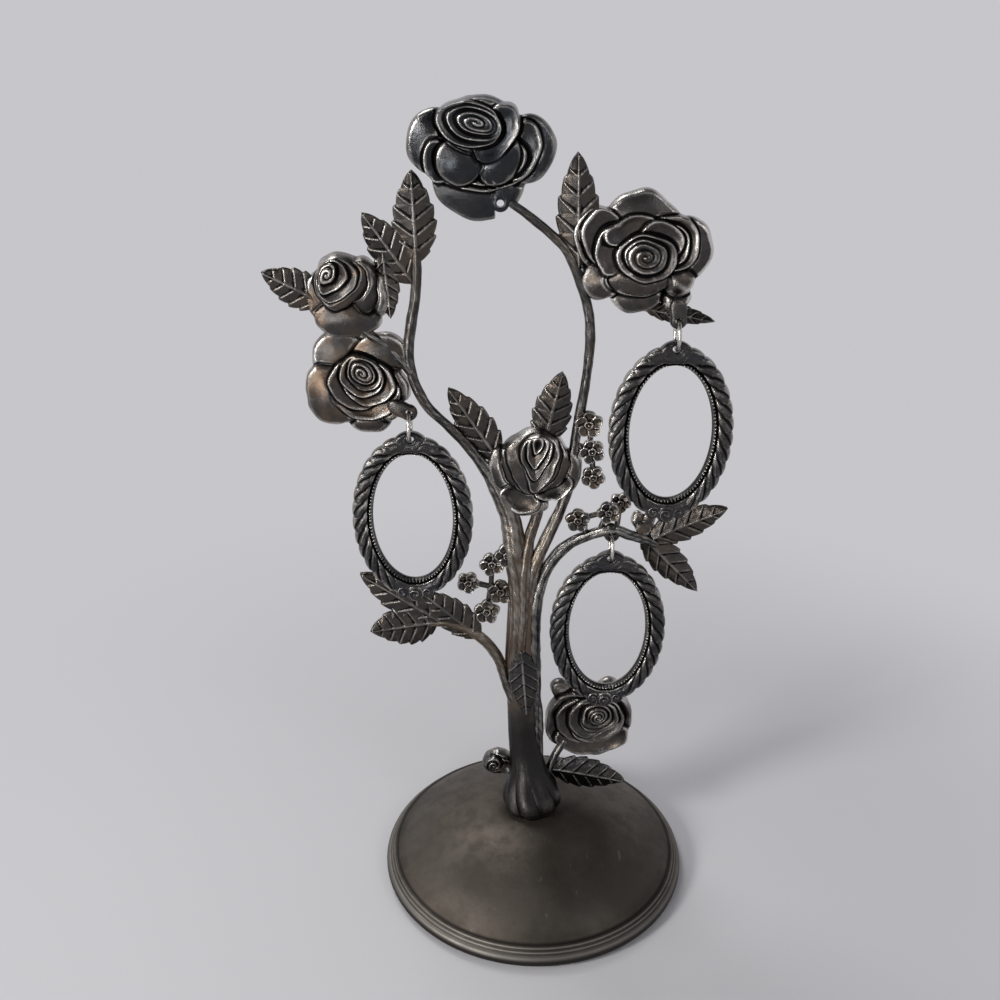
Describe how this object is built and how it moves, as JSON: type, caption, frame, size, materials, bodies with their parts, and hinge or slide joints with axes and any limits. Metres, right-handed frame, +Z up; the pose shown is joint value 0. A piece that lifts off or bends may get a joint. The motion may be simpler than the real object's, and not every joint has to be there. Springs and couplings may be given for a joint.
{
  "type": "photo tree stand",
  "caption": "Cast metal rose tree on a round domed base, with small oval photo frames hanging from its branches on jump rings.",
  "frame": {"origin": "centre of the felt's underside, on the surface that the stand rests on", "axes": "+Z up, the tree faces -Y, +X to the right as seen from the front"},
  "size_m": [0.1429, 0.108, 0.2692],
  "materials": {
    "antique_pewter": "antiqued cast metal, dark in the hollows and worn bright on the high edges",
    "frame_pewter": "dark antiqued cast metal with worn bright edges",
    "satin_pewter": "satin warm grey metal with faint blotches",
    "ring_steel": "bright plated wire",
    "zinc_plate": "zinc plated",
    "felt": "dark felt"
  },
  "bodies": {
    "tree": {"base_dome": "satin_pewter", "base_felt": "felt", "blossom_branch_end": "antique_pewter", "blossoms_centre": "antique_pewter", "blossoms_left": "antique_pewter", "blossoms_right": "antique_pewter", "centre_stem": "antique_pewter", "foot_bud": "antique_pewter", "foot_rose_stem": "antique_pewter", "foot_screw": "zinc_plate", "foot_washer": "zinc_plate", "leaf_branch_left_far": "antique_pewter", "leaf_branch_left_mid": "antique_pewter", "leaf_branch_left_near": "antique_pewter", "leaf_branch_right_lower": "antique_pewter", "leaf_branch_right_upper": "antique_pewter", "leaf_centre_left": "antique_pewter", "leaf_centre_right": "antique_pewter", "leaf_far_left": "antique_pewter", "leaf_foot": "antique_pewter", "leaf_inner_left": "antique_pewter", "leaf_left_rose": "antique_pewter", "leaf_outer_left": "antique_pewter", "leaf_top_right": "antique_pewter", "leaf_under_right_rose": "antique_pewter", "left_arch_stem": "antique_pewter", "left_low_branch": "antique_pewter", "left_rose_stem": "antique_pewter", "right_arch_stem": "antique_pewter", "right_low_branch": "antique_pewter", "rose_centre": "antique_pewter", "rose_foot": "antique_pewter", "rose_left_lower": "antique_pewter", "rose_left_upper": "antique_pewter", "rose_right": "antique_pewter", "rose_top": "antique_pewter", "side_stem": "antique_pewter", "trunk": "antique_pewter", "trunk_leaf": "antique_pewter"},
    "hanging_ring_left": {"ring_left": "ring_steel"},
    "hanging_frame_left": {"frame_left": "frame_pewter"},
    "hanging_ring_right_lower": {"ring_right_lower": "ring_steel"},
    "hanging_frame_right_lower": {"frame_right_lower": "frame_pewter"},
    "hanging_ring_right_upper": {"ring_right_upper": "ring_steel"},
    "hanging_frame_right_upper": {"frame_right_upper": "frame_pewter"}
  },
  "joints": [
    {"name": "sway_left", "type": "hinge", "parent": "tree", "child": "hanging_ring_left", "pos_m": [-0.03993, -0.00342, 0.1763], "axis": [0, -1, 0], "range_deg": [-10, 10]},
    {"name": "tilt_left", "type": "hinge", "parent": "hanging_ring_left", "child": "hanging_frame_left", "pos_m": [-0.03993, -0.00342, 0.17203], "axis": [-1, 0, 0], "range_deg": [0, 60]},
    {"name": "sway_right_lower", "type": "hinge", "parent": "tree", "child": "hanging_ring_right_lower", "pos_m": [0.02359, -0.00342, 0.13508], "axis": [0, -1, 0], "range_deg": [-10, 20]},
    {"name": "tilt_right_lower", "type": "hinge", "parent": "hanging_ring_right_lower", "child": "hanging_frame_right_lower", "pos_m": [0.02359, -0.00342, 0.13081], "axis": [-1, 0, 0], "range_deg": [0, 60]},
    {"name": "sway_right_upper", "type": "hinge", "parent": "tree", "child": "hanging_ring_right_upper", "pos_m": [0.04029, -0.00342, 0.205], "axis": [0, -1, 0], "range_deg": [-6, 20]},
    {"name": "tilt_right_upper", "type": "hinge", "parent": "hanging_ring_right_upper", "child": "hanging_frame_right_upper", "pos_m": [0.04029, -0.00342, 0.20073], "axis": [-1, 0, 0], "range_deg": [0, 60]}
  ]
}
